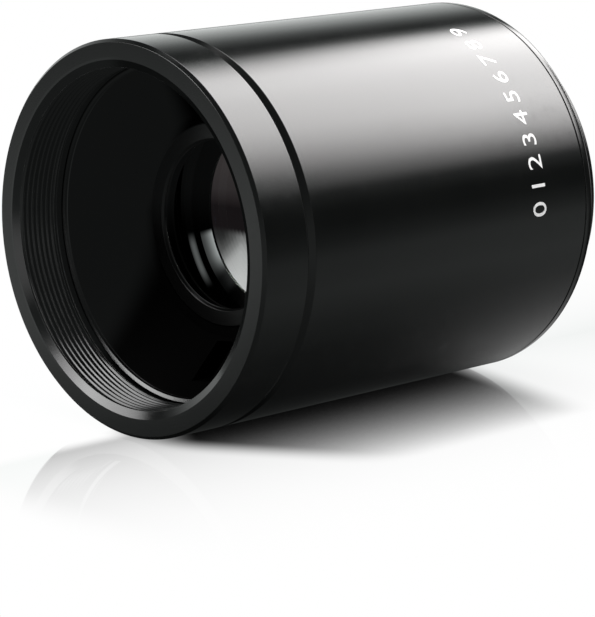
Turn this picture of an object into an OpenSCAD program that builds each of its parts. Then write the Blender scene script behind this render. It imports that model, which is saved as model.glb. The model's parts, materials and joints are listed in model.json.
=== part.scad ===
// Screw-mount 2x barlow lens: a short tube with a female thread in front, a negative lens
// group inside and a male thread behind. The optical axis is +X, from the front mouth to the rear.
// The origin is the centre of the front face. Radii and stations along the axis are in millimetres.

/* [Body] */
// Outside diameter of the tube
body_d = 48; // [47.5:0.5:52]
// Length from the front face to the rear shoulder
body_l = 57; // [56:0.5:60]
// Length of the front collar's outside skin
collar_l = 7; // [7:0.25:7.5]
// Thickness of the shim washer in the front seam
front_shim_t = 0.3; // [0.2:0.05:0.4]
// Thickness of the shim washer in the rear seam
rear_shim_t = 0.1; // [0.1:0.05:0.2]
// Length of the rear mount's outside skin
rear_skin_l = 1.35; // [1.3:0.05:2]

/* [Threads] */
// Nominal diameter of the mounting threads
mount_thread_d = 42; // [41:0.5:42]
// Pitch of every mounting and body thread
pitch = 0.75; // [0.7:0.05:0.75]
// Number of grooves in the front mounting thread
front_grooves = 7; // [5:1:7]
// Length of the rear mounting thread
rear_thread_l = 4; // [3:0.5:5]
// Length of the threaded spigots that screw into the barrel
spigot_l = 4.9; // [4.7:0.1:4.9]

/* [Optics] */
// Diameter of the lens elements
glass_d = 28; // [26:0.5:28]
// Diameter of the round opening in the nose ring
nose_d = 20.8; // [18:0.4:21.2]
// Distance from the front face to the nose ring
nose_x = 15; // [14.5:0.25:15.5]
// Diameter of the clear glass inside the front retaining ring
clear_d = 23.4; // [20:0.2:24]

/* [Hidden] */
$fn = 128;
black = [0.11, 0.11, 0.12];
matte = [0.06, 0.06, 0.06];
steel = [0.72, 0.72, 0.74];
clear = [0.75, 0.85, 0.85, 0.5];

// Height of a spherical cap of curvature radius c at radius r
function sag(c, r) = c - sqrt(c * c - r * r);

// gaps
skin = 0.02;                                    // gap between faces that touch when assembled
run = 0.04;                                     // radial gap of a thread that turns
slip = 0.05;                                    // radial gap of a fixed part in its seat

// thread form
tooth = 0.54 * pitch;                           // depth of a thread groove
crest = pitch / 4;                              // flat land between two grooves
root = pitch / 8;                               // flat at the bottom of a groove

// shell
body_r = body_d / 2;
mouth_r = body_r - 2.45;                        // inner edge of the front face
front_edge = 0.4;                               // chamfer round the front face
rear_edge = 1;                                  // radius of the round edge at the rear shoulder
round_steps = 8;                                // flats that make up a quarter-round edge
seam_edge = 0.15;                               // small chamfer on the seam edges
barrel_edge = 0.8;                              // chamfer round the barrel's front end
barrel_x0 = collar_l + front_shim_t + 2 * skin;
rear_skin_x0 = body_l - rear_skin_l;
barrel_x1 = rear_skin_x0 - rear_shim_t - 2 * skin;

// front mounting thread
front_crest_r = mount_thread_d / 2 - tooth;
lead_in = 0.48;                                 // length of the lead-in cone at the mouth
front_thread_x1 = lead_in + front_grooves * pitch + crest;
relief_r = mount_thread_d / 2 + 0.3;
relief_x1 = collar_l - 0.6;                     // end of the relief groove behind the thread
land_x1 = collar_l - 0.4;                       // end of the narrow land behind the relief

// rear mounting thread
rear_crest_r = mount_thread_d / 2 - 0.02;
rear_x1 = body_l + rear_thread_l;
rear_bore_r = mount_thread_d / 2 - 1.8;
end_edge = 0.4;                                 // chamfer on a male thread's end

// body threads, where the collar and the rear mount screw into the barrel
socket_r = body_r - 1.5;
spigot_r = socket_r - run;
spigot_bore_r = mount_thread_d / 2 + 0.15;
spigot_x1 = collar_l + spigot_l;
rear_spigot_x0 = rear_skin_x0 - spigot_l + rear_shim_t;
socket_l = spigot_l + 0.2;
spigot_turns = 5;                               // grooves cut in a spigot and in its socket

// barrel bore and the rib that the cell holder is pulled against
bore_r = mount_thread_d / 2 + 0.7;
bore_x0 = collar_l + socket_l;
bore_x1 = rear_skin_x0 - socket_l;
rib_r = bore_r - 1.7;
rib_x0 = nose_x + 10.8;
rib_x1 = rib_x0 + 1.2;

// front baffle
lip_x = collar_l + 0.2;
lip_r = spigot_bore_r - 0.4;
lip_face = 0.05;                                // width of the lip's flat face
lip_edge = 0.4;                                 // radial width of the bevel inside that face
lip_edge_l = 0.17;                              // length of that bevel along the axis
lip_bore_l = 0.5;                               // length of the lip, from its face to the funnel
funnel_r = 13.9;                                // outside radius of the flat round the nose ring
hub_r = 12.65;                                  // bore that holds the nose ring
hub_lip_r = 12.1;
hub_lip_l = 0.8;
stop_t = 0.3;                                   // thickness of the glare stop
wall = 1.1;                                     // thickness of the funnel's wall
skirt_wall = 1.4;                               // thickness of the funnel's threaded skirt
skirt_x0 = bore_x0 + 0.1;
skirt_x1 = nose_x + 1.2;
nose_l = 2;                                     // length of the nose ring
hub_seat_x = nose_x + nose_l + stop_t + 2 * skin;
slot_w = 1.6;                                   // width of a retaining ring's spanner slot
baffle_slot_w = 3.2;                            // width of the funnel's spanner slots
baffle_slot_l = 4.2;                            // radial length of the funnel's spanner slots
baffle_slot_angle = 187;                        // turn of the slots from +Z towards +Y
baffle_slot_x1 = nose_x + wall + 0.5;           // where the slots end, in the hub's side

// radii of curvature of the ground faces
front_lens_c1 = 50;
front_lens_c2 = 36;
convex_c1 = 45;
cement_c = 40;
concave_c2 = 48;
rear_lens_c2 = 60;

// lens cell and the stack of glass in it
glass_r = glass_d / 2;
clear_r = clear_d / 2;
seat_r = glass_r + slip;
cell_thread_r = glass_r + 0.45;                 // bore of the cell's threaded mouths
cell_r = glass_r + 2;
cell_x0 = nose_x + 7.7;
cell_edge = 0.6;                                // radial width of the chamfer in the cell's mouths
cell_edge_l = 0.7;                              // length of that chamfer along the axis
flange_r = cell_r + 1.6;
flange_x0 = rib_x0 - 0.6;
ring_l = 0.85;                                  // length of a retaining ring
ring_land = 0.35;                               // straight length inside a retaining ring
ring_face = 1;                                  // width of the flat outside its bevel
front_ring_x = cell_x0 + 0.75;
front_lens_x0 = front_ring_x + ring_l + skin;
front_lens_t = 5;
step_x0 = front_lens_x0 + front_lens_t + skin;
step_l = 1.5;                                   // width of the land between the two lens seats
step_r = glass_r - 1.3;
step_cone = sag(convex_c1, glass_r) - sag(convex_c1, step_r);
convex_x0 = step_x0 + step_l + skin;            // edge of the doublet's front element
convex_edge = 1.2;
concave_x0 = convex_x0 + convex_edge + skin;
concave_edge = 5.8;
spacer_x0 = concave_x0 + concave_edge + skin;
spacer_l = 1.2;
rear_lens_x0 = spacer_x0 + spacer_l + skin;
rear_lens_edge = 1.3;
rear_clear_r = glass_r - 1.2;
rear_bulge = sag(rear_lens_c2, glass_r) - sag(rear_lens_c2, rear_clear_r);
rear_ring_x = rear_lens_x0 + rear_lens_edge + rear_bulge + skin;
cell_x1 = rear_ring_x + ring_l + 1;
aperture_r = glass_r - 1.5;                     // edge of the hollow ground into a concave face

// cell holder, its rings, and the glare sleeve
holder_x0 = rib_x1 + skin;
holder_x1 = holder_x0 + 6;
holder_r = bore_r - slip;
nut_x0 = holder_x1 + skin;
nut_r = cell_r + 1.35;
nut_l = 1.8;
lock_bore_r = nut_r + 0.2;
lock_l = 2;
sleeve_x0 = nut_x0 + lock_l + 1;
sleeve_x1 = rear_spigot_x0 - 0.05;
sleeve_bore_r = bore_r - 1.5;
sleeve_rib_l = 1.2;
sleeve_ribs = floor((sleeve_x1 - sleeve_x0) / sleeve_rib_l);

// Outline points [radius, station] of n V grooves, from station x0 towards the rear
function grooves(x0, n, crest_r, root_r) =
    let (flank = (pitch - crest - root) / 2)
    [for (i = [0:n - 1])
        let (x = x0 + crest + i * pitch)
        each [[crest_r, x], [root_r, x + flank], [root_r, x + flank + root],
              [crest_r, x + 2 * flank + root]]];

// The same points in reverse order
function back(points) = [for (i = [len(points) - 1:-1:0]) points[i]];

// Outline points of a quarter-round edge of radius e, from a rear face inward of radius r
// at station x round to the skin
function round_edge(r, x, e) =
    [for (i = [round_steps:-1:0])
        let (a = 90 * i / round_steps)
        [r - e + e * cos(a), x - e + e * sin(a)]];

// A solid turned about the optical axis from an outline of [radius, station] points
module turned(outline) {
    rotate([0, 90, 0])
        rotate_extrude()
            polygon(outline);
}

// A plain ring
module ring(r_in, r_out, x0, x1) {
    turned([[r_in, x0], [r_out, x0], [r_out, x1], [r_in, x1]]);
}

// A plain disc
module disc(r, x0, x1) {
    translate([x0, 0, 0])
        rotate([0, 90, 0])
            cylinder(r = r, h = x1 - x0);
}

// A ball whose face meets the optical axis at station x, bulging forward or rearward
module ball(x, c, bulge) {
    translate([x - bulge * c, 0, 0])
        sphere(r = c, $fn = 256);
}

// Two opposite spanner slots of width w, cut from station x0 to x1 and from radius r0 to r1
module spanner_slots(angle, r0, r1, x0, x1, w = slot_w) {
    for (half = [0, 180])
        rotate([-angle - half, 0, 0])
            translate([x0, -w / 2, r0])
                cube([x1 - x0, w, r1 - r0]);
}

// Front collar: mounting thread inside, threaded spigot behind
module front_collar() {
    color(black)
        turned(concat(
            [[mouth_r, 0]],
            [[front_crest_r, lead_in]],
            grooves(lead_in, front_grooves, front_crest_r, mount_thread_d / 2),
            [[front_crest_r, front_thread_x1], [relief_r, front_thread_x1 + 0.15],
             [relief_r, relief_x1], [front_crest_r + 0.25, relief_x1],
             [front_crest_r + 0.25, land_x1], [spigot_bore_r, land_x1 + 0.1],
             [spigot_bore_r, spigot_x1], [spigot_r - 0.3, spigot_x1],
             [spigot_r, spigot_x1 - 0.3]],
            back(grooves(collar_l + 0.5, spigot_turns, spigot_r, spigot_r - tooth)),
            [[spigot_r, collar_l], [body_r - seam_edge, collar_l],
             [body_r, collar_l - seam_edge], [body_r, front_edge],
             [body_r - front_edge, 0]]));
}

// Thin washer that sets where the collar stops turning
module front_shim() {
    color(steel)
        ring(socket_r + 0.05, body_r - barrel_edge - 0.1, collar_l + skin,
             collar_l + skin + front_shim_t);
}

// Outer tube
module barrel() {
    color(black)
        turned(concat(
            [[body_r - barrel_edge, barrel_x0], [body_r, barrel_x0 + barrel_edge],
             [body_r, barrel_x1 - seam_edge], [body_r - seam_edge, barrel_x1],
             [socket_r, barrel_x1]],
            back(grooves(bore_x1 + 0.3, spigot_turns, socket_r, socket_r + tooth)),
            [[socket_r, bore_x1], [bore_r, bore_x1], [bore_r, rib_x1], [rib_r, rib_x1],
             [rib_r, rib_x0], [bore_r, rib_x0], [bore_r, bore_x0], [socket_r, bore_x0]],
            back(grooves(barrel_x0 + 0.2, spigot_turns, socket_r, socket_r + tooth)),
            [[socket_r, barrel_x0]]));
}

// Funnel that keeps stray light off the lens, screwed into the barrel by its skirt
module front_baffle() {
    color(matte)
        difference() {
            turned(concat(
                [[lip_r - lip_face, lip_x], [lip_r - lip_face - lip_edge, lip_x + lip_edge_l],
                 [lip_r - lip_face - lip_edge, lip_x + lip_bore_l], [funnel_r, nose_x],
                 [hub_r, nose_x], [hub_r, hub_seat_x], [hub_lip_r, hub_seat_x],
                 [hub_lip_r, hub_seat_x + hub_lip_l], [funnel_r + wall, hub_seat_x + hub_lip_l],
                 [funnel_r + wall, nose_x + wall],
                 [holder_r - skirt_wall, skirt_x0 + wall], [holder_r - skirt_wall, skirt_x1],
                 [holder_r, skirt_x1]],
                back(grooves(skirt_x0 + 0.3, 4, holder_r, holder_r - tooth)),
                [[holder_r, skirt_x0], [lip_r, skirt_x0], [lip_r, lip_x]]));
            spanner_slots(baffle_slot_angle, funnel_r + 0.4, funnel_r + 0.4 + baffle_slot_l,
                          lip_x, baffle_slot_x1, baffle_slot_w);
        }
}

// Bright-edged ring round the opening in the nose of the baffle
module nose_ring() {
    color(matte)
        turned([[nose_d / 2 + 0.25, nose_x], [nose_d / 2, nose_x + 0.25],
                [nose_d / 2, nose_x + 0.5], [nose_d / 2 + 1.2, nose_x + nose_l],
                [hub_r - slip, nose_x + nose_l], [hub_r - slip, nose_x + 0.15],
                [hub_r - slip - 0.15, nose_x]]);
}

// Thin blackened disc with a round opening, clamped behind the nose ring
module glare_stop() {
    color(matte)
        ring(nose_d / 2 + 0.5, hub_r - slip, nose_x + nose_l + skin,
             nose_x + nose_l + skin + stop_t);
}

// Tube that holds the glass, with a seat at each side of a middle land.
// The land's rear side is a cone that meets the doublet's bulging face.
module lens_cell() {
    color(matte)
        turned([[cell_thread_r + cell_edge, cell_x0], [cell_thread_r, cell_x0 + cell_edge_l],
                [cell_thread_r, front_lens_x0 - skin], [seat_r, front_lens_x0 - skin],
                [seat_r, step_x0], [step_r, step_x0],
                [step_r, step_x0 + step_l - step_cone], [seat_r, step_x0 + step_l],
                [seat_r, rear_ring_x - skin], [cell_thread_r, rear_ring_x - skin],
                [cell_thread_r, cell_x1 - 0.4],
                [cell_thread_r + 0.4, cell_x1], [cell_r - 0.3, cell_x1], [cell_r, cell_x1 - 0.3],
                [cell_r, holder_x0 - skin], [flange_r, holder_x0 - skin],
                [flange_r, flange_x0], [cell_r, flange_x0], [cell_r, cell_x0 + 0.3],
                [cell_r - 0.3, cell_x0]]);
}

// Retaining ring with a bevelled opening, two spanner slots and a threaded rim.
// The bevel faces the front when facing is 0 and the rear when it is 1.
module retainer(x, r_in, facing) {
    r_out = cell_thread_r - slip;
    middle = x + ring_l / 2;
    color(matte)
        translate([middle, 0, 0])
            mirror([facing, 0, 0])
                translate([-ring_l / 2, 0, 0])
                    difference() {
                        turned([[r_out - ring_face, 0], [r_in, ring_l - ring_land], [r_in, ring_l],
                                [r_out, ring_l], [r_out, 0]]);
                        spanner_slots(5, r_in + 0.6, r_out + 1, -1, ring_l / 2);
                    }
}

module front_retainer() {
    retainer(front_ring_x, clear_r, 0);
}

// Front lens, hollow on both faces
module front_lens() {
    color(clear)
        difference() {
            disc(glass_r, front_lens_x0, front_lens_x0 + front_lens_t);
            ball(front_lens_x0 + sag(front_lens_c1, aperture_r), front_lens_c1, 1);
            ball(front_lens_x0 + front_lens_t - sag(front_lens_c2, aperture_r), front_lens_c2, -1);
        }
}

// Doublet, front element: bulging on both faces
module doublet_convex_lens() {
    front_x = convex_x0 - sag(convex_c1, glass_r);
    rear_x = convex_x0 + convex_edge + sag(cement_c, glass_r);
    color(clear)
        intersection() {
            disc(glass_r, front_x - 1, rear_x + 1);
            ball(front_x, convex_c1, -1);
            ball(rear_x, cement_c, 1);
        }
}

// Doublet, rear element: hollow on both faces, cemented to the front one
module doublet_concave_lens() {
    rear_x = concave_x0 + concave_edge;
    color(clear)
        difference() {
            disc(glass_r, concave_x0, rear_x);
            ball(concave_x0 + sag(cement_c, glass_r), cement_c, 1);
            ball(rear_x - sag(concave_c2, aperture_r), concave_c2, -1);
        }
}

// Ring that keeps the doublet and the rear lens apart
module lens_spacer() {
    color(matte)
        ring(step_r, glass_r - skin, spacer_x0, spacer_x0 + spacer_l);
}

// Rear lens: flat in front, bulging behind
module rear_lens() {
    rear_x = rear_lens_x0 + rear_lens_edge + sag(rear_lens_c2, glass_r);
    color(clear)
        intersection() {
            disc(glass_r, rear_lens_x0, rear_x + 1);
            ball(rear_x, rear_lens_c2, 1);
        }
}

module rear_retainer() {
    retainer(rear_ring_x, rear_clear_r, 1);
}

// Bulkhead that carries the cell, screwed against the barrel's rib
module cell_holder() {
    color(matte)
        turned(concat(
            [[cell_r + slip, holder_x0], [cell_r + slip, holder_x1], [holder_r, holder_x1]],
            back(grooves(holder_x0 + 0.6, 6, holder_r, holder_r - tooth)),
            [[holder_r, holder_x0]]));
}

// Ring that jams the holder in place, with two spanner slots
module holder_lock_ring() {
    color(matte)
        difference() {
            turned([[lock_bore_r, nut_x0], [lock_bore_r, nut_x0 + lock_l],
                    [holder_r - 0.3, nut_x0 + lock_l], [holder_r, nut_x0 + lock_l - 0.3],
                    [holder_r, nut_x0]]);
            spanner_slots(90, lock_bore_r + 0.8, bore_r + 1, nut_x0 + lock_l / 2, sleeve_x0);
        }
}

// Nut behind the holder that pulls the cell's flange tight
module cell_nut() {
    color(steel)
        difference() {
            ring(cell_r + slip, nut_r, nut_x0, nut_x0 + nut_l);
            spanner_slots(0, cell_r + 0.7, nut_r + 1, nut_x0 + nut_l / 2, sleeve_x0);
        }
}

// Ribbed sleeve that traps stray light behind the lens
module rear_baffle() {
    step = (sleeve_x1 - sleeve_x0) / sleeve_ribs;
    color(matte)
        turned(concat(
            [for (i = [0:sleeve_ribs - 1])
                each [[sleeve_bore_r, sleeve_x0 + i * step],
                      [sleeve_bore_r + 0.7, sleeve_x0 + (i + 0.85) * step]]],
            [[sleeve_bore_r, sleeve_x1], [holder_r, sleeve_x1], [holder_r, sleeve_x0]]));
}

// Thin washer that sets where the rear mount stops turning
module rear_shim() {
    color(steel)
        ring(socket_r + 0.05, body_r - seam_edge - 0.2, barrel_x1 + skin,
             barrel_x1 + skin + rear_shim_t);
}

// Rear mount: shoulder and male mounting thread, with a threaded spigot into the barrel
module rear_mount() {
    color(black)
        turned(concat(
            [[spigot_bore_r, rear_spigot_x0], [spigot_bore_r, rear_skin_x0 - 1],
             [rear_bore_r, rear_skin_x0], [rear_bore_r, rear_x1 - end_edge],
             [rear_bore_r + end_edge, rear_x1], [rear_crest_r - end_edge, rear_x1],
             [rear_crest_r, rear_x1 - end_edge]],
            back(grooves(body_l + 0.1, floor((rear_thread_l - end_edge - 0.3) / pitch),
                         rear_crest_r, rear_crest_r - tooth)),
            [[rear_crest_r, body_l]],
            round_edge(body_r, body_l, rear_edge),
            [[body_r, rear_skin_x0 + seam_edge], [body_r - seam_edge, rear_skin_x0],
             [spigot_r, rear_skin_x0]],
            back(grooves(rear_spigot_x0 + 0.35, spigot_turns, spigot_r, spigot_r - tooth)),
            [[spigot_r, rear_spigot_x0 + 0.3], [spigot_r - 0.3, rear_spigot_x0]]));
}

front_collar();
front_shim();
barrel();
front_baffle();
nose_ring();
glare_stop();
lens_cell();
front_retainer();
front_lens();
doublet_convex_lens();
doublet_concave_lens();
lens_spacer();
rear_lens();
rear_retainer();
cell_holder();
holder_lock_ring();
cell_nut();
rear_baffle();
rear_shim();
rear_mount();
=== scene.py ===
import json
import math

import bmesh
import bpy
import numpy as np
from mathutils import Euler, Matrix, Vector

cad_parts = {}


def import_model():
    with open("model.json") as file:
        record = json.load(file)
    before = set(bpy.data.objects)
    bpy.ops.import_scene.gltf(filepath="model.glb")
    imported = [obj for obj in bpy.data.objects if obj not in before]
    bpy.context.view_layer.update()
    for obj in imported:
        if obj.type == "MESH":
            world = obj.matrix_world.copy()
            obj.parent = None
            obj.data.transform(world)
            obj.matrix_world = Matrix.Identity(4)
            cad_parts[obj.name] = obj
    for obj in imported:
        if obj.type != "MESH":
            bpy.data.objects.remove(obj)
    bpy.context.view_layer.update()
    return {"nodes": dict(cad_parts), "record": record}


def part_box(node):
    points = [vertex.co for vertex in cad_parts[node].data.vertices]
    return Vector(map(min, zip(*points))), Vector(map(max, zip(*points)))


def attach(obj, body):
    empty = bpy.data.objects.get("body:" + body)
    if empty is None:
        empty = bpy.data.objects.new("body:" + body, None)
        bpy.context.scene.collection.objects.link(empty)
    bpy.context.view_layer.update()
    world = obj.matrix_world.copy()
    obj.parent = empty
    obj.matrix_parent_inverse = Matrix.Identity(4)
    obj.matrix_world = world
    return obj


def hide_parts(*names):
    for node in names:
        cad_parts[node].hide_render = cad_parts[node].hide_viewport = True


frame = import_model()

scene = bpy.context.scene
MM = 0.001

# ---------------------------------------------------------------- turned meshes

PITCH = 0.75                            # of every thread, in mm
CREST, ROOT = PITCH / 4, PITCH / 8      # flats of the thread form
TOOTH = 0.54 * PITCH                    # depth of a thread groove
FILLET = 0.05                           # of a corner that has none of its own
SEGS = 256                              # steps round the axis
START = math.pi                         # where the threads start, from +Y towards +Z
ROUND_STEP = 30.0                       # degrees between the points of a rounded corner, at most
STRAIGHT = 1e-3                         # a corner that turns less than this isn't rounded
AXIS_R = 1e-6                           # a smaller radius, in mm, counts as on the axis


def rounded(points, fillet, closed):
    """Points (radius, station) along an outline whose corners are rounded. A corner may carry its
    own fillet radius as a third number."""
    flat = np.array([p[:2] for p in points], float)
    count, rows = len(flat), []
    for i, here in enumerate(flat):
        if not closed and i in (0, count - 1):
            rows.append(tuple(here))
            continue
        a, b = here - flat[i - 1], flat[(i + 1) % count] - here
        la, lb = np.linalg.norm(a), np.linalg.norm(b)
        a, b = a / la, b / lb
        theta = math.atan2(a[0] * b[1] - a[1] * b[0], float(a @ b))
        half = math.tan(abs(theta) / 2)
        if half < STRAIGHT:
            rows.append(tuple(here))
            continue
        wanted = points[i][2] if len(points[i]) > 2 else fillet
        cut = min(wanted * half, 0.42 * la, 0.42 * lb)     # fillets never meet on a short edge
        inward = np.array([-a[1], a[0]]) * math.copysign(cut / half, theta)
        centre = here - a * cut + inward
        steps = max(2, math.ceil(abs(math.degrees(theta)) / ROUND_STEP))
        for j in range(steps + 1):
            c, s = math.cos(theta * j / steps), math.sin(theta * j / steps)
            rows.append((centre[0] - c * inward[0] + s * inward[1],
                         centre[1] - s * inward[0] - c * inward[1]))
    return rows


def thread_rows(thread):
    """Rows of a thread section at angle 0, from its low end to its high end, with one more pitch
    before the low end, and the number of rows in a pitch."""
    crest, root, low, high = thread["crest"], thread["root"], thread["low"], thread["high"]
    flank = (PITCH - CREST - ROOT) / 2
    turns = math.ceil((high - low) / PITCH) + 2
    corners = []
    for i in range(-1, turns):
        x = low + i * PITCH
        corners += [(crest, x + CREST), (root, x + CREST + flank),
                    (root, x + CREST + flank + ROOT), (crest, x + CREST + 2 * flank + ROOT)]
    rows = rounded([(crest, corners[0][1] - CREST)] + corners + [(crest, corners[-1][1] + CREST)],
                   FILLET, False)[1:-1]
    return rows, len(rows) // (turns + 1)


def smooth(v):
    v = np.clip(v, 0.0, 1.0)
    return v * v * (3 - 2 * v)


def turned(name, outline, body, material, stands_for, fillet=FILLET):
    """A solid turned about +X. The outline is a closed loop of (radius, station) points, in which
    a thread is a dict: crest and root radius, low and high station, fade lengths at both ends, and
    reverse where the loop runs along it from high to low. Threads are right-handed helices."""
    parts, run = [], []                 # each part: its rows, its thread and its rows in a pitch
    first = next((i for i, p in enumerate(outline) if isinstance(p, dict)), None)
    if first is None:
        parts.append((np.array(rounded(outline, fillet, True)), None, 0))
    else:
        loop = outline[first:] + outline[:first]
        for item in loop + [None]:
            if item is None or isinstance(item, dict):
                if run:
                    parts.append((np.array(rounded(run, fillet, False)), None, 0))
                    run = []
                if item is not None:
                    rows, per_pitch = thread_rows(item)
                    parts.append((np.array(rows), item, per_pitch))
            else:
                run.append(item)
    columns_r, columns_x = [], []
    seam, base = [], 0                  # the row that each row meets after a full turn
    turns = np.arange(SEGS) / SEGS
    for rows, thread, per_pitch in parts:
        count = len(rows)
        r = np.repeat(rows[:, :1], SEGS, 1)
        x = np.repeat(rows[:, 1:], SEGS, 1)
        link = np.arange(count)
        if thread is not None:
            low, high = thread["low"], thread["high"]
            x = np.clip(x + PITCH * turns, low, high)
            fade = smooth((x - low) / thread["fade"][0]) * smooth((high - x) / thread["fade"][1])
            r = thread["crest"] + (r - thread["crest"]) * fade
            link = np.minimum(link + per_pitch, count - 1)
            if thread.get("reverse"):
                r, x, link = r[::-1], x[::-1], count - 1 - link[::-1]
        columns_r.append(r)
        columns_x.append(x)
        seam.append(link + base)
        base += count
    r, x, seam = np.concatenate(columns_r), np.concatenate(columns_x), np.concatenate(seam)
    after = np.roll(np.arange(base), -1)
    # each edge of the outline pushes its own normal, by length, on to both its ends
    dr, dx = r[after] - r, x[after] - x
    area = float(np.sum(r[:, 0] * x[after, 0] - r[after, 0] * x[:, 0]))
    turn = 1.0 if area > 0 else -1.0
    push_r, push_x = turn * dx, -turn * dr
    normal_r = push_r + push_r[after.argsort()]
    normal_x = push_x + push_x[after.argsort()]
    angle = START + 2 * math.pi * turns
    cos, sin = np.cos(angle), np.sin(angle)
    index, verts, normals = np.zeros(r.shape, int), [], []
    key_of = {}                         # rows that end in the same place share a vertex
    for k in range(base):
        for j in range(SEGS):
            rr, xx = r[k, j], x[k, j]
            axis = rr < AXIS_R
            key = (round(xx, 5), 0 if axis else round(rr, 5), -1 if axis else j)
            at = key_of.get(key)
            if at is None:
                at = key_of[key] = len(verts)
                verts.append((xx * MM, rr * cos[j] * MM, rr * sin[j] * MM))
                normals.append(np.zeros(3))
            index[k, j] = at
            normals[at] += (normal_x[k, j], normal_r[k, j] * cos[j], normal_r[k, j] * sin[j])
    faces = []
    for k in range(base):
        n = after[k]
        for j in range(SEGS):
            if j + 1 < SEGS:
                loop = (index[k, j], index[n, j], index[n, j + 1], index[k, j + 1])
            else:
                loop = (index[k, j], index[n, j], index[seam[n], 0], index[seam[k], 0])
            face = []
            for v in loop:
                if v not in face:
                    face.append(int(v))
            if len(face) > 2:
                faces.append(face[::-1] if turn > 0 else face)
    build(name, verts, faces, normals, body, material, stands_for)


def build(name, verts, faces, normals, body, material, stands_for):
    """A piece with its own vertex normals, in place of the nodes that it stands for."""
    mesh = bpy.data.meshes.new(name)
    mesh.from_pydata(verts, [], faces)
    mesh.update()
    mesh.shade_smooth()
    lengths = [max(1e-12, float(np.linalg.norm(n))) for n in normals]
    mesh.normals_split_custom_set_from_vertices([tuple(n / s) for n, s in zip(normals, lengths)])
    obj = bpy.data.objects.new(name, mesh)
    scene.collection.objects.link(obj)
    mesh.materials.append(material)
    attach(obj, body)
    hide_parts(*stands_for)


# ---------------------------------------------------------------- materials

RELIEF = 0.00002                        # height of the surface grain and of the turning rings, in m
BLEND = 0.00002                         # half the width of a border between two finishes, in m
EDGE_R = 0.00012                        # how far wear reaches round a sharp edge, in m
LIP_X = 0.0078                          # the funnel's lip ends here
LENS_RIM = 0.01395                      # a lens is clear inside this radius
CELL_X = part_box("lens_cell")[0][0]      # front ends of the cell and of its retaining ring
RING_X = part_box("front_retainer")[0][0]
# the painted reflection on the front lens stops at this station
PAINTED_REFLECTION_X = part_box("front_lens")[0][0] + 0.0017         # the lens's forward face ends before this


class Nodes:
    """A short way to write a node tree."""

    def __init__(self, tree):
        self.tree = tree
        tree.nodes.clear()

    def add(self, kind, **inputs):
        node = self.tree.nodes.new(kind)
        for key, value in inputs.items():
            if hasattr(node, key) and key not in node.inputs:
                setattr(node, key, value)
            else:
                self.put(node, key, value)
        return node

    def put(self, node, key, value):
        socket = node.inputs[key]
        if isinstance(value, bpy.types.NodeSocket):
            self.tree.links.new(value, socket)
        elif isinstance(value, bpy.types.Node):
            self.tree.links.new(value.outputs[0], socket)
        else:
            socket.default_value = value

    def math(self, op, a, b=0.0, c=0.0):
        node = self.tree.nodes.new("ShaderNodeMath")
        node.operation = op
        for i, v in enumerate((a, b, c)):
            self.put(node, i, v)
        return node.outputs[0]

    def product(self, *factors):
        whole = factors[0]
        for factor in factors[1:]:
            whole = self.math("MULTIPLY", whole, factor)
        return whole

    def coords(self, vector):
        """The X, Y and Z outputs of a vector."""
        return self.add("ShaderNodeSeparateXYZ", Vector=vector).outputs

    def noise(self, where, scale, detail=3.0, rough=0.5):
        node = self.tree.nodes.new("ShaderNodeTexNoise")
        self.put(node, "Vector", where)
        self.put(node, "Scale", scale)
        self.put(node, "Detail", detail)
        self.put(node, "Roughness", rough)
        return node.outputs["Fac"]

    def fit(self, value, lo, hi, to_lo=0.0, to_hi=1.0, kind="LINEAR"):
        """Map lo...hi to to_lo...to_hi, and hold the value beyond both ends."""
        node = self.tree.nodes.new("ShaderNodeMapRange")
        node.interpolation_type = kind
        for key, v in (("Value", value), ("From Min", lo), ("From Max", hi),
                       ("To Min", to_lo), ("To Max", to_hi)):
            self.put(node, key, v)
        return node.outputs["Result"]

    def ease(self, value, lo, hi, to_lo=0.0, to_hi=1.0):
        """The same with soft ends."""
        return self.fit(value, lo, hi, to_lo, to_hi, "SMOOTHSTEP")

    def ramp(self, value, stops):
        """A colour ramp through stops of (place, colour)."""
        node = self.tree.nodes.new("ShaderNodeValToRGB")
        self.put(node, "Fac", value)
        ramp = node.color_ramp
        while len(ramp.elements) > 1:
            ramp.elements.remove(ramp.elements[-1])
        for i, (place, colour) in enumerate(stops):
            e = ramp.elements[0] if i == 0 else ramp.elements.new(place)
            e.position = place
            e.color = (*colour, 1.0)
        return node.outputs["Color"]

    def mix(self, fac, a, b):
        node = self.tree.nodes.new("ShaderNodeMix")
        node.data_type = "RGBA"
        self.put(node, 0, fac)
        self.put(node, 6, a)            # the colour sockets of a mix node
        self.put(node, 7, b)
        return node.outputs[2]

    def mix_shaders(self, fac, a, b):
        node = self.tree.nodes.new("ShaderNodeMixShader")
        for i, v in enumerate((fac, a, b)):
            self.put(node, i, v)
        return node

    def bump(self, height, strength, normal=None):
        node = self.tree.nodes.new("ShaderNodeBump")
        self.put(node, "Height", height)
        self.put(node, "Strength", strength)
        self.put(node, "Distance", RELIEF)
        if normal is not None:
            self.put(node, "Normal", normal)
        return node.outputs["Normal"]

    def surface(self, shader, output="ShaderNodeOutputMaterial"):
        self.add(output, Surface=shader)


def grey(v):
    return (v, v, v, 1.0)


def new_material(name):
    material = bpy.data.materials.new(name)
    material.use_nodes = True
    return material, Nodes(material.node_tree)


def turned_height(n, xyz, ring_scale, grain_scale):
    """Heights of a fine turned surface: rings round the axis and a bead-blasted grain."""
    along = n.add("ShaderNodeCombineXYZ", X=n.coords(xyz)["X"])
    return n.noise(along, ring_scale, 2.0, 0.6), n.noise(xyz, grain_scale, 2.0, 0.5)


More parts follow.
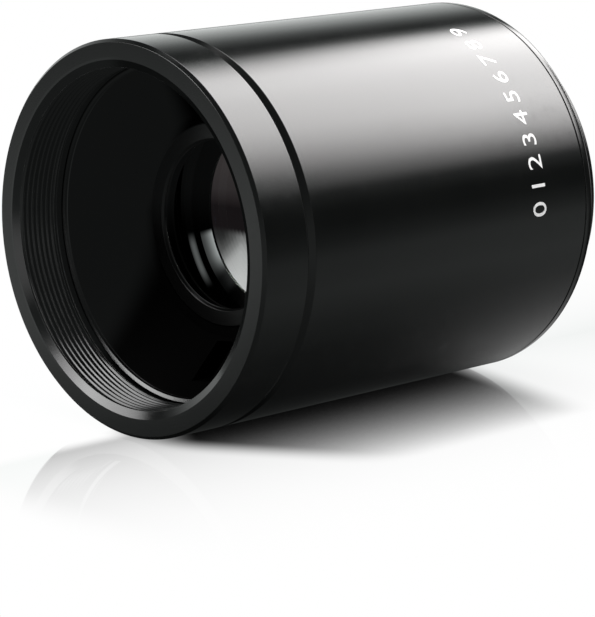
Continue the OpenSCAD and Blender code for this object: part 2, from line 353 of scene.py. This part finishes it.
def anodised(name, base, rough, grain_bump, ring_bump, wear, shine=0.5, lip_x=None, painted_light=None):
    """Black metal with a grain, turning rings and worn edges. A lip in front of lip_x is smooth
    metal, with flat paint behind it. A painted light, if given, is a painted highlight,
    reflection or sheen that the surface carries as a faint emission."""
    material, n = new_material(name)
    xyz = n.add("ShaderNodeTexCoord").outputs["Object"]
    rings, grain = turned_height(n, xyz, 9000.0, 7000.0)
    cloud = n.noise(xyz, 60.0, 3.0, 0.55)
    scuff = n.noise(xyz, 420.0, 4.0, 0.7)
    roughness = n.math("ADD", n.fit(cloud, 0.3, 0.7, rough - 0.02, rough + 0.02),
                       n.fit(grain, 0.3, 0.7, -0.02, 0.02))
    roughness = n.math("ADD", roughness, n.fit(scuff, 0.55, 0.8, 0.0, 0.06))
    # bare metal just shows on the sharpest edges
    edge = n.add("ShaderNodeBevel", Radius=EDGE_R, samples=4)
    geo = n.add("ShaderNodeNewGeometry")
    along = n.add("ShaderNodeVectorMath", operation="DOT_PRODUCT")
    n.put(along, 0, edge.outputs["Normal"])
    n.put(along, 1, geo.outputs["Normal"])
    worn = n.product(n.fit(along.outputs["Value"], 0.97, 0.85), n.fit(scuff, 0.4, 0.65, 0.2, 1.0),
                     wear)
    tint = n.mix(n.fit(cloud, 0.3, 0.7), (*base, 1.0),
                 (base[0] * 1.35, base[1] * 1.3, base[2] * 1.3, 1.0))
    if lip_x is not None:
        painted = n.fit(n.coords(xyz)["X"], lip_x - BLEND, lip_x + BLEND)
        roughness = n.fit(painted, 0.0, 1.0, 0.14, roughness)
        shine = n.fit(painted, 0.0, 1.0, 0.5, shine)
    bsdf = n.add("ShaderNodeBsdfPrincipled", IOR=1.5, Roughness=roughness)
    n.put(bsdf, "Base Color", n.mix(worn, tint, grey(0.18)))
    n.put(bsdf, "Specular IOR Level", shine)
    n.put(bsdf, "Normal", n.bump(rings, ring_bump, n.bump(grain, grain_bump)))
    # painted light: a pale emission stands in for a highlight, reflection or sheen
    if painted_light is not None:
        n.put(bsdf, "Emission Color", (0.93, 1.0, 0.99, 1.0))
        n.put(bsdf, "Emission Strength", painted_light(n, xyz))
    n.surface(bsdf)
    return material


def reflected(n):
    """Parts of the direction in which a surface mirrors the view."""
    return n.coords(n.add("ShaderNodeTexCoord").outputs["Reflection"])


def radius_of(n, xyz):
    part = n.coords(xyz)
    square = n.math("ADD", n.product(part["Y"], part["Y"]), n.product(part["Z"], part["Z"]))
    return n.math("SQRT", square)


def bevel_glint(n, xyz):
    """A painted reflection of a low window light on the retaining ring's bevel, brightest at its
    inner edge. The ring sits too deep for the studio's own light to reach it, so its material
    carries the reflection."""
    way, r = reflected(n), radius_of(n, xyz)
    inward = n.fit(r, 0.0134, 0.0117)
    return n.product(
        n.math("MULTIPLY_ADD", n.product(inward, inward), 0.3, 0.045),
        n.ease(way["Z"], -0.06, -0.03),
        n.ease(way["Z"], 0.05, 0.13, 1.0, 0.06),
        n.ease(way["X"], -0.86, -0.89),
        n.fit(r, 0.01335, 0.01345, 1.0, 0.0),       # not on the ring's rim
        n.fit(n.coords(xyz)["X"], RING_X + 0.0005, RING_X + 0.00054, 1.0, 0.0))     # nor its bore


def mouth_glint(n, xyz):
    """The same painted reflection of the window light on the chamfer in the lens cell's mouth,
    brightest half way across it.
    """
    way, r = reflected(n), radius_of(n, xyz)
    side = n.fit(r, 0.01445, 0.01505, -1.0, 1.0)
    return n.product(
        n.math("MULTIPLY_ADD", n.product(side, side), -0.085, 0.09),
        n.ease(way["Z"], 0.2, 0.4),
        n.ease(way["Z"], 0.62, 0.8, 1.0, 0.0),
        n.ease(way["X"], -0.45, -0.55),
        n.fit(n.coords(xyz)["X"], CELL_X + 0.00068, CELL_X + 0.00072, 1.0, 0.0),
        n.fit(r, 0.01506, 0.01512, 1.0, 0.0))


def side_haze(level, r_max):
    """Painted light: a faint even glow on the mouth's far side wall, out to the radius r_max,
    standing in for the sheen of light that falls there. Above the axis it reaches further round."""
    def glow(n, xyz):
        part = n.coords(xyz)
        side = n.math("MULTIPLY_ADD", n.math("MAXIMUM", part["Z"], 0.0), 0.5, part["Y"])
        return n.product(n.ease(side, 0.0106, 0.0142, 0.0, level),
                         n.fit(radius_of(n, xyz), r_max, r_max + 0.0001, 1.0, 0.0))
    return glow


def hazed(level, painted_light=None):
    """The same faint painted sheen over the upper half of a piece in the mouth, as if lit from
    above, added to its painted glint.
    """
    def glow(n, xyz):
        top_sheen = n.ease(n.coords(xyz)["Z"], -0.004, 0.003, 0.0, level)
        return top_sheen if painted_light is None else n.math("ADD", painted_light(n, xyz), top_sheen)
    return glow


def bare(name, colour, rough):
    material, n = new_material(name)
    xyz = n.add("ShaderNodeTexCoord").outputs["Object"]
    rings, grain = turned_height(n, xyz, 12000.0, 5000.0)
    dull = n.noise(xyz, 300.0, 4.0, 0.6)
    bsdf = n.add("ShaderNodeBsdfPrincipled", Metallic=1.0,
                 Roughness=n.fit(dull, 0.3, 0.7, rough, rough + 0.15),
                 Normal=n.bump(rings, 0.2, n.bump(grain, 0.1)))
    n.put(bsdf, "Base Color", n.mix(dull, (*colour, 1.0), (*[c * 0.7 for c in colour], 1.0)))
    n.surface(bsdf)
    return material


def glass(name, painted_reflection_x=None):
    """Coated glass with a blackened rim. In front of the station given as its second argument it
    also carries a painted reflection of the window light, as an emission."""
    material, n = new_material(name)
    xyz = n.add("ShaderNodeTexCoord").outputs["Object"]
    r = radius_of(n, xyz)
    dust = n.noise(xyz, 900.0, 5.0, 0.7)
    bsdf = n.add("ShaderNodeBsdfPrincipled", IOR=1.52, Roughness=n.fit(dust, 0.6, 0.85, 0.0, 0.06))
    n.put(bsdf, "Base Color", (0.93, 0.96, 0.95, 1.0))
    n.put(bsdf, "Transmission Weight", 1.0)
    n.put(bsdf, "Specular Tint", (1.0, 0.9, 1.0, 1.0))
    n.put(bsdf, "Thin Film Thickness", 140.0)
    n.put(bsdf, "Thin Film IOR", 1.38)
    if painted_reflection_x is not None:
        # painted reflection: the emission shows the window light, and what lies below its sill,
        # where the front face mirrors the view
        way = reflected(n)
        inside = n.add("ShaderNodeNewGeometry").outputs["Backfacing"]
        facing = n.product(
            n.ease(way["X"], -0.6, -0.75), n.math("SUBTRACT", 1.0, inside),
            n.fit(n.coords(xyz)["X"], painted_reflection_x, painted_reflection_x + 0.0001, 1.0, 0.0),
            n.fit(r, 0.0122, 0.0127, 1.0, 0.25))    # fainter on the flat outside the hollow
        slant = n.math("ADD", n.fit(way["Z"], -0.06, 0.08, 0.0, 0.583),
                       n.fit(way["Y"], 0.4, 0.5, 0.0, 0.417))
        below = n.ramp(n.fit(way["Z"], -0.35, -0.05), PAINTED_REFLECTION_BELOW)
        sill = n.ease(way["Z"], -0.095, -0.06)
        n.put(bsdf, "Emission Color", n.mix(sill, below, n.ramp(slant, PAINTED_REFLECTION_WINDOW)))
        n.put(bsdf, "Emission Strength", facing)
    paint = n.add("ShaderNodeBsdfPrincipled", Roughness=n.fit(dust, 0.3, 0.7, 0.6, 0.8))
    n.put(paint, "Base Color", grey(0.001))
    n.put(paint, "Specular IOR Level", 0.02)
    n.surface(n.mix_shaders(n.fit(r, LENS_RIM, LENS_RIM + BLEND), bsdf, paint))
    return material


def ink(name):
    material, n = new_material(name)
    xyz = n.add("ShaderNodeTexCoord").outputs["Object"]
    grain = n.noise(xyz, 5000.0, 3.0, 0.6)
    patch = n.noise(xyz, 700.0, 3.0, 0.6)
    bsdf = n.add("ShaderNodeBsdfPrincipled", Roughness=n.fit(patch, 0.3, 0.7, 0.5, 0.65),
                 Normal=n.bump(grain, 0.25))
    n.put(bsdf, "Base Color", n.mix(patch, grey(0.5), grey(0.6)))
    # painted light: the ink glows faintly, so that it looks whiter than its lit colour
    n.put(bsdf, "Emission Color", grey(1.0))
    n.put(bsdf, "Emission Strength", 0.13)
    n.surface(bsdf)
    return material


# colours of the painted reflection on the front coating, below the window's sill and in the window
PAINTED_REFLECTION_BELOW = [(0.1, (0.034, 0.03, 0.03)), (0.38, (0.027, 0.0235, 0.024)),
              (0.53, (0.0145, 0.012, 0.0125)), (0.6, (0.008, 0.0065, 0.007)),
              (1.0, (0.009, 0.0075, 0.008))]
PAINTED_REFLECTION_WINDOW = [(place, (0.97 * v, v, 0.985 * v)) for place, v in (
    (0.0, 0.02), (0.07, 0.03), (0.25, 0.085), (0.33, 0.14), (0.42, 0.2), (0.51, 0.3), (0.6, 0.38),
    (0.7, 0.42), (0.87, 0.47), (1.0, 0.51))]

# name, base colour, roughness, bump of the grain and of the rings, wear, shine
SATIN = (0.003, 0.0034, 0.0033), 0.115, 0.16, 0.08, 0.4
BLACK = anodised("black_anodised", *SATIN)
# COLLAR, INNER, RING, CELL, STOP and FUNNEL carry painted light: painted sheen on the mouth's
# walls, and painted reflections on the ring's bevel and on the cell's chamfer
COLLAR = anodised("collar_black", *SATIN, painted_light=side_haze(0.005, 0.0218))
MATTE = anodised("matte_black", (0.002,) * 3, 0.42, 0.3, 0.2, 0.2, 0.22)
INNER = anodised("inner_black", (0.0015,) * 3, 0.2, 0.25, 0.2, 0.15, 0.25, painted_light=hazed(0.0033))
RING = anodised("ring_black", (0.0015,) * 3, 0.3, 0.25, 0.2, 0.15, 0.3,
                painted_light=hazed(0.0025, bevel_glint))
CELL = anodised("cell_black", (0.001,) * 3, 0.5, 0.25, 0.2, 0.15, 0.1,
                painted_light=hazed(0.003, mouth_glint))
STOP = anodised("stop_black", (0.001,) * 3, 0.6, 0.25, 0.2, 0.0, 0.05, painted_light=hazed(0.003))
SPACER = anodised("spacer_black", (0.0005,) * 3, 0.6, 0.25, 0.2, 0.0, 0.02)
FUNNEL = anodised("funnel_black", (0.0004,) * 3, 0.55, 0.3, 0.2, 0.0, 0.014, LIP_X,
                  side_haze(0.0055, 0.0205))
METAL = bare("bare_metal", (0.5, 0.46, 0.38), 0.3)
GLASS = glass("coated_glass")
FRONT_GLASS = glass("front_glass", PAINTED_REFLECTION_X)
INK = ink("white_marking")

BY_SLOT = {"black_anodised": BLACK, "matte_black": MATTE, "bare_metal": METAL,
           "coated_glass": GLASS}
BY_NODE = {"front_baffle": FUNNEL, "front_retainer": RING, "glare_stop": STOP, "lens_cell": CELL,
           "lens_spacer": SPACER}       # these show in the mouth
for part in frame["record"]["subparts"]:
    finishes = frame["nodes"][part["node"]].data.materials
    finish = BY_NODE.get(part["node"], BY_SLOT[part["material_slot"]])
    if not finishes:
        finishes.append(finish)
    for i in range(len(finishes)):
        finishes[i] = finish

# ---------------------------------------------------------------- pieces

BODY_R, BODY_L = 24.0, 57.0
SEAM_X0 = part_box("barrel")[1][0] / MM   # the rear seam runs from here
SEAM_X1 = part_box("rear_shim")[1][0] / MM + 0.02         # to here
SPIGOT_X0 = SEAM_X1 - 4.8               # front end of the rear mount's spigot
SOCKET_X0 = SEAM_X1 - 5.1               # bottom of the barrel's rear socket
SOCKET_R, SPIGOT_R, SPIGOT_BORE = 22.5, 22.46, 21.15
BORE_R, RIB_R = 21.7, 20.0
MOUNT_R, FRONT_CREST, REAR_CREST = 21.0, 20.595, 20.98

# collar: mounting thread inside the mouth, body thread round the spigot
turned("collar_shell", [
    (21.55, 0.0, 0.06), (FRONT_CREST + 0.01, 0.47, 0.05),
    {"crest": FRONT_CREST, "root": MOUNT_R, "low": 0.48, "high": 5.92, "fade": (0.3, 0.3)},
    (FRONT_CREST + 0.01, 5.93), (21.3, 6.08), (21.3, 6.4), (20.845, 6.4), (20.845, 6.6),
    (SPIGOT_BORE, 6.7), (SPIGOT_BORE, 11.9), (22.16, 11.9), (SPIGOT_R, 11.6),
    {"crest": SPIGOT_R, "root": SPIGOT_R - TOOTH, "low": 7.45, "high": 11.59,
     "fade": (0.4, 0.3), "reverse": True},
    (SPIGOT_R, 7.4), (SPIGOT_R, 7.0, 0.05), (23.85, 7.0, 0.03), (BODY_R, 6.85, 0.06),
    (BODY_R, 0.4, 0.08), (23.6, 0.0, 0.08),
], "front_screw", COLLAR, ["front_collar"])

# barrel
turned("barrel_shell", [
    (23.2, 7.34, 0.06), (BODY_R, 8.14, 0.1), (BODY_R, SEAM_X0 - 0.06, 0.04),
    (23.94, SEAM_X0, 0.03), (SOCKET_R, SEAM_X0),
    {"crest": SOCKET_R, "root": SOCKET_R + TOOTH, "low": SOCKET_X0 + 0.2, "high": SEAM_X0 - 0.06,
     "fade": (0.4, 0.3), "reverse": True},
    (SOCKET_R, SOCKET_X0 + 0.15), (SOCKET_R, SOCKET_X0), (BORE_R, SOCKET_X0), (BORE_R, 27.0),
    (RIB_R, 27.0), (RIB_R, 25.8), (BORE_R, 25.8), (BORE_R, 12.1), (SOCKET_R, 12.1),
    (SOCKET_R, 12.0),
    {"crest": SOCKET_R, "root": SOCKET_R + TOOTH, "low": 7.4, "high": 11.9,
     "fade": (0.3, 0.4), "reverse": True},
    (SOCKET_R, 7.34),
], "tube", BLACK, ["barrel"])

# rear mount: shoulder with a round edge, mounting thread behind it
turned("rear_mount_shell", [
    (SPIGOT_BORE, SPIGOT_X0), (SPIGOT_BORE, SEAM_X1 - 1), (19.2, SEAM_X1), (19.2, 60.6),
    (19.6, 61.0), (20.58, 61.0), (REAR_CREST, 60.6),
    {"crest": REAR_CREST, "root": REAR_CREST - TOOTH, "low": 57.3, "high": 60.59,
     "fade": (0.5, 0.25), "reverse": True},
    (REAR_CREST, 57.25), (REAR_CREST, BODY_L), (BODY_R, BODY_L, 1.0),
    (BODY_R, SEAM_X1 + 0.06, 0.04), (23.94, SEAM_X1, 0.03), (SPIGOT_R, SEAM_X1),
    (SPIGOT_R, SEAM_X1 - 0.45),
    {"crest": SPIGOT_R, "root": SPIGOT_R - TOOTH, "low": SPIGOT_X0 + 0.32, "high": SEAM_X1 - 0.5,
     "fade": (0.3, 0.4), "reverse": True},
    (SPIGOT_R, SPIGOT_X0 + 0.3), (22.16, SPIGOT_X0),
], "rear_screw", BLACK, ["rear_mount"])

# ring round the nose opening
turned("nose_rim", [
    (10.65, 15.0, 0.08), (10.4, 15.25, 0.08), (10.4, 15.5), (11.6, 17.0), (12.6, 17.0),
    (12.6, 15.15), (12.45, 15.0),
], "tube", INNER, ["nose_ring"])


def cap(curve, r_edge, x_edge, bulge, steps=24):
    """Points of a ground face from the axis to its edge. The bulge is 1 where the middle sits
    further back than the edge, and -1 where it sits further forward."""
    rows = []
    for i in range(steps + 1):
        r = r_edge * i / steps
        sag = math.sqrt(curve * curve - r * r) - math.sqrt(curve * curve - r_edge * r_edge)
        rows.append((r, x_edge + bulge * sag))
    return rows


# front lens: hollow on both faces
LENS_R, LENS_CHAMFER, HOLLOW_R = 14.0, 0.1, 12.5
FRONT_CURVE, REAR_CURVE = 50.0, 36.0
LENS_X0, LENS_X1 = (corner[0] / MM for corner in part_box("front_lens"))
turned("lens_front", (
    cap(FRONT_CURVE, HOLLOW_R, LENS_X0, 1)
    + [(LENS_R - LENS_CHAMFER, LENS_X0), (LENS_R, LENS_X0 + LENS_CHAMFER),
       (LENS_R, LENS_X1 - LENS_CHAMFER), (LENS_R - LENS_CHAMFER, LENS_X1)]
    + cap(REAR_CURVE, HOLLOW_R, LENS_X1, -1)[::-1]),
    "tube", FRONT_GLASS, ["front_lens"], fillet=0.02)

# ---------------------------------------------------------------- marking

MARK_X, MARK_H = 46.8, 2.4              # the middle and height of the numerals, in mm
MARK_STRETCH = 1.2                      # wide letter forms
MARK_START, MARK_GAP = 2.6, 7.0         # degrees to the first numeral, and from each to the next
MARK_PROUD, MARK_SUNK = 0.012, 0.03     # the ink runs from below the skin to just above it, in mm
MARK_SLICE, MARK_SLICES = 0.35, 6       # width, in mm, and number to each side of the slices


def marking():
    """Numerals of a ring scale, wrapped round the barrel as a thin film of ink."""
    whole = bmesh.new()
    for label in range(10):
        angle = math.radians(MARK_START + MARK_GAP * label)
        curve = bpy.data.curves.new("digits", "FONT")
        curve.body = str(label)
        curve.size = 1.0
        curve.align_x = "CENTER"
        curve.extrude = 0.5
        curve.resolution_u = 6
        holder = bpy.data.objects.new("digits", curve)
        scene.collection.objects.link(holder)
        bpy.context.view_layer.update()
        dg = bpy.context.evaluated_depsgraph_get()
        mesh = bpy.data.meshes.new_from_object(holder.evaluated_get(dg))
        bpy.data.objects.remove(holder)
        part = bmesh.new()
        part.from_mesh(mesh)
        bmesh.ops.remove_doubles(part, verts=part.verts, dist=1e-5)
        low = min(v.co.y for v in part.verts)
        high = max(v.co.y for v in part.verts)
        scale = MARK_H / (high - low)
        width = max(v.co.x for v in part.verts)
        # cut into narrow slices, so that it can follow the curve
        for k in range(-MARK_SLICES, MARK_SLICES + 1):
            where = k * MARK_SLICE / scale
            if abs(where) < width:
                geom = part.verts[:] + part.edges[:] + part.faces[:]
                bmesh.ops.bisect_plane(part, geom=geom, dist=1e-6,
                                       plane_co=(where, 0, 0), plane_no=(1, 0, 0))
        for v in part.verts:
            along, up, out = v.co.x * scale, (v.co.y - low) * scale - MARK_H / 2, v.co.z
            t = angle + along * MARK_STRETCH / BODY_R
            r = BODY_R + (MARK_PROUD if out > 0 else -MARK_SUNK)
            v.co = Vector(((MARK_X - up) * MM, -r * math.cos(t) * MM, r * math.sin(t) * MM))
        part.to_mesh(mesh)
        part.free()
        whole.from_mesh(mesh)
    bmesh.ops.recalc_face_normals(whole, faces=whole.faces)
    mesh = bpy.data.meshes.new("scale_numerals")
    whole.to_mesh(mesh)
    whole.free()
    obj = bpy.data.objects.new("scale_numerals", mesh)
    scene.collection.objects.link(obj)
    mesh.materials.append(INK)
    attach(obj, "tube")


marking()

# ---------------------------------------------------------------- floor, light and camera

FLOOR_Z, FLOOR_HALF = -BODY_R * MM, 6.0
SHADOW_REACH, SHADOW_POWER = 0.016, 1.65    # of the contact shadow
MIRROR_SHARE, MIRROR_HALVES = 0.5, 0.0085   # at the tube's foot, and the step that halves it


def floor():
    """A white floor that glows evenly, with a painted contact shadow and a mirror image close
    to the tube.
    """
    mesh = bpy.data.meshes.new("floor")
    s = FLOOR_HALF
    mesh.from_pydata([(-s, -s, FLOOR_Z), (s, -s, FLOOR_Z), (s, s, FLOOR_Z), (-s, s, FLOOR_Z)],
                     [], [(0, 1, 2, 3)])
    obj = bpy.data.objects.new("floor", mesh)
    scene.collection.objects.link(obj)
    obj.visible_glossy = False
    obj.visible_diffuse = False
    obj.visible_transmission = False
    obj.visible_shadow = False
    material, n = new_material("floor")
    place = n.coords(n.add("ShaderNodeNewGeometry").outputs["Position"])
    x, y = place["X"], place["Y"]

    # painted shadow: ambient occlusion darkens the floor's own glow near the tube
    ao = n.add("ShaderNodeAmbientOcclusion", samples=24, Distance=SHADOW_REACH)
    shade = n.math("POWER", n.fit(ao.outputs["AO"], 0.02, 0.9), SHADOW_POWER)
    # the painted shadow thins out past both ends of the tube, in front along two slanting lines
    front = n.product(n.ease(n.math("MULTIPLY_ADD", y, -0.6, x), -0.003, 0.0095),
                      n.ease(n.math("MULTIPLY_ADD", x, 1.6, y), -0.012, 0.002))
    rear = n.ease(n.math("MULTIPLY_ADD", y, -0.25, x), 0.053, 0.0605, 1.0, 0.1)
    lost = n.math("SUBTRACT", 1.0, n.product(front, rear))
    shade = n.math("ADD", n.product(shade, n.math("SUBTRACT", 1.0, lost)), lost)

    # the mirror image ends on both sides, in front, and in the corner left of the mouth
    away = n.math("ABSOLUTE", y)
    corner = n.product(n.ease(y, -0.001, 0.003), n.ease(x, 0.004, -0.002))
    near = n.product(
        n.math("POWER", 2.0, n.math("DIVIDE", away, -MIRROR_HALVES)), MIRROR_SHARE,
        n.ease(away, 0.02, 0.055, 1.0, 0.0), n.ease(x, -0.032, -0.022),
        n.math("SUBTRACT", 1.0, corner))

    # the glow's colour carries the painted shadow
    paper = n.add("ShaderNodeEmission", Color=n.mix(shade, grey(0.0), grey(1.0)))
    mirror = n.add("ShaderNodeBsdfGlossy", Color=grey(1.0), Roughness=0.03)
    n.surface(n.mix_shaders(near, paper, mirror))
    mesh.materials.append(material)


floor()

# Light by direction: the angle runs round the tube's axis, from 0 at the camera's side through
# 90 overhead to 180 at the far side; each row is (degrees, brightness). A long softbox hangs
# overhead, brighter and wider towards the rear, with a white backdrop behind the object.
LIGHT_TOP = 12.0                        # more than the brightest row of any table
NEAR_LIGHT = [(-180, 0.3), (-168, 0.03), (-116, 0.02), (-96, 0.03), (-76, 0.06), (-56, 0.13),
              (-36, 0.24), (-16, 0.2), (-7, 0.08), (3, 0.01), (13, 0.0), (23, 0.06), (33, 0.95),
              (43, 3.2), (53, 6.0), (63, 8.0), (73, 8.6), (93, 8.4), (103, 7.0), (110, 4.2),
              (118, 1.2), (124, 0.08), (133, 0.04), (143, 0.28), (153, 0.72), (163, 0.95),
              (180, 1.0)]
REAR_LIGHT = [(-180, 0.3), (-168, 0.04), (-116, 0.02), (-96, 0.04), (-76, 0.08), (-56, 0.18),
              (-36, 0.36), (-16, 0.33), (-7, 0.16), (3, 0.03), (13, 0.01), (23, 0.28), (33, 3.5),
              (43, 7.5), (53, 9.8), (63, 10.8), (73, 10.4), (93, 9.6), (103, 9.9), (113, 9.4),
              (120, 5.5), (126, 0.9), (131, 0.08), (136, 0.06), (143, 0.24), (153, 0.65),
              (163, 0.85), (180, 0.9)]
FRONT_LIGHT = [(-180, 0.15), (-174, 0.2), (-169, 0.36), (-166.5, 0.75), (-164, 0.72),
               (-162, 0.18), (-158, 0.1), (-152, 0.05), (-100, 0.06), (-40, 0.2), (-16, 0.3),
               (0, 0.25), (20, 0.12), (60, 0.04), (160, 0.06), (180, 0.15)]
COOL, WARM = (0.94, 1.0, 0.98), (1.0, 0.985, 0.98)      # tints of the dim and of the bright light
WARM_FROM = 3.0                         # the brightness that has all of the warm tint
# How far a direction leans along +X chooses between the tables. Each pair is where a change
# starts and where it is complete.
NEAR_TO_REAR = 0.67, 0.745
FRONT_TO_SIDE = -0.42, -0.2
# a low light in front and below, seen only near the rear
LOW_PATCH, LOW_LEAN = 0.75, (0.71, 0.745)
LOW_FROM, LOW_TO = (-175, -130), (-30, -118)
# a dark card behind the object, seen in its rear edge
CARD, CARD_LEAN, CARD_EDGE = 0.03, (0.77, 0.81), (98, 82)
# a window in front, by how far a direction leans and, below, by its angle
WINDOW_LEAN = [(-0.94, 0.0), (-0.905, 1.0), (-0.885, 4.7), (-0.83, 7.5), (-0.77, 10.0),
               (-0.67, 7.0), (-0.56, 4.7), (-0.52, 3.0), (-0.47, 0.0)]
WINDOW_FROM, WINDOW_TO = (102, 110), (157, 163)
AXIS_LEAN = 0.975, 1.0                  # the angle means nothing along the tube's own axis


def light_ramp(n, turn, rows):
    stops = []
    for degrees, bright in rows:
        warm = min(1.0, bright / WARM_FROM)
        tint = [a + (b - a) * warm for a, b in zip(COOL, WARM)]
        stops.append(((degrees + 180) / 360, [bright / LIGHT_TOP * c for c in tint]))
    return n.ramp(turn, stops)


def world():
    made = bpy.data.worlds.new("studio")
    scene.world = made
    made.use_nodes = True
    n = Nodes(made.node_tree)
    x, y, z = n.coords(n.add("ShaderNodeTexCoord").outputs["Generated"])
    angle = n.math("ARCTAN2", z, n.math("MULTIPLY", y, -1.0))
    degrees = n.math("DEGREES", angle)
    turn = n.fit(angle, -math.pi, math.pi)

    def vectors(operation, a, key, b):
        node = n.add("ShaderNodeVectorMath", operation=operation)
        n.put(node, 0, a)
        n.put(node, key, b)
        return node

    low = n.product(n.ease(degrees, *LOW_TO), n.ease(degrees, *LOW_FROM),
                    n.ease(x, *LOW_LEAN, 0.0, LOW_PATCH / LIGHT_TOP))
    side = n.mix(n.fit(x, *NEAR_TO_REAR), light_ramp(n, turn, NEAR_LIGHT),
                 light_ramp(n, turn, REAR_LIGHT))
    side = vectors("ADD", side, 1, n.add("ShaderNodeCombineXYZ", X=low, Y=low, Z=low))
    card = n.product(n.ease(x, *CARD_LEAN), n.ease(degrees, *CARD_EDGE))
    side = n.mix(card, side, grey(CARD / LIGHT_TOP))

    pane = n.product(n.ease(degrees, *WINDOW_FROM), n.ease(degrees, *WINDOW_TO, 1.0, 0.0))
    lean = n.ramp(n.fit(x, -1.0, 0.0),
                  [(place + 1.0, (v / LIGHT_TOP,) * 3) for place, v in WINDOW_LEAN])
    front = vectors("ADD", light_ramp(n, turn, FRONT_LIGHT), 1,
                    vectors("SCALE", lean, "Scale", pane))

    light = n.mix(n.ease(x, *FRONT_TO_SIDE), front, side)
    light = n.mix(n.ease(n.math("ABSOLUTE", x), *AXIS_LEAN), light, grey(1.0 / LIGHT_TOP))
    # the camera itself sees plain white
    n.surface(n.mix_shaders(
        n.add("ShaderNodeLightPath").outputs["Is Camera Ray"],
        n.add("ShaderNodeBackground", Color=light, Strength=LIGHT_TOP),
        n.add("ShaderNodeBackground", Color=grey(1.0), Strength=1.0)), "ShaderNodeOutputWorld")


world()

CAMERA_PLACE = -223.713, -261.229, 65.662           # in mm
CAMERA_TURN, CAMERA_TIP = -43.969, 12.138           # degrees round +Z, and down
cam_data = bpy.data.cameras.new("camera")
cam_data.lens, cam_data.sensor_width = 171.845, 36.0
cam_data.clip_start, cam_data.clip_end = 0.01, 20.0
camera = bpy.data.objects.new("camera", cam_data)
scene.collection.objects.link(camera)
facing = Euler((math.radians(90 - CAMERA_TIP), 0.0, math.radians(CAMERA_TURN)))
camera.matrix_world = Matrix.LocRotScale(Vector(CAMERA_PLACE) * MM, facing, None)
scene.camera = camera
scene.view_settings.view_transform = "Standard"
scene.view_settings.look = "None"
